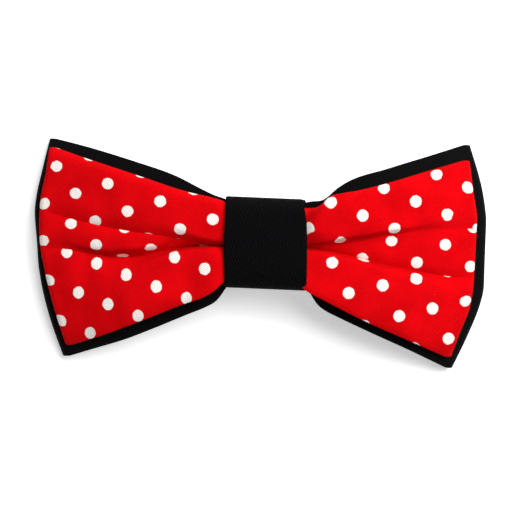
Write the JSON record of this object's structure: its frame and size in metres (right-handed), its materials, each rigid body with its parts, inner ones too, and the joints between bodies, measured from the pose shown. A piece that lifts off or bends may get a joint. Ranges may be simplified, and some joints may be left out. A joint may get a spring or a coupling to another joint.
{
  "type": "bow tie",
  "caption": "Layered clip-on bow tie: dotted cotton bow over a larger plain twill bow, pleated into a wrapped centre band, with a sprung collar clip behind.",
  "frame": {"origin": "middle of the outline, on the plane that the rear bow's corners rest on when the tie lies on its back", "axes": "+X along the wings, to the viewer's right when the tie is seen from in front; +Y up when worn; +Z out of the tie's front"},
  "size_m": [0.12, 0.0604, 0.0227],
  "materials": {
    "dotted_cotton": "matte",
    "black_twill": "matte",
    "interlining": "matte",
    "red_thread": "matte",
    "black_thread": "matte",
    "clip_metal": "satin",
    "spring_steel": "satin"
  },
  "bodies": {
    "bow": {"rear_bow": "black_twill", "rear_interlining": "interlining", "rear_bow_seam": "black_thread", "front_bow": "dotted_cotton", "front_interlining": "interlining", "front_bow_seam": "red_thread", "gather_thread": "black_thread", "centre_band": "black_twill", "band_stitches": "black_thread", "clip_plate": "clip_metal", "clip_pin": "clip_metal", "clip_spring": "spring_steel"},
    "lever": {"clip_lever": "clip_metal"}
  },
  "joints": [
    {"name": "clip_hinge", "type": "hinge", "parent": "bow", "child": "lever", "pos_m": [0.0146, 0.00185, 0.00775], "axis": [0, -1, 0], "range_deg": [0, 12], "stiffness_Nm_per_rad": 0.004, "springref_deg": -28.65, "deforming": ["clip_spring"]}
  ]
}
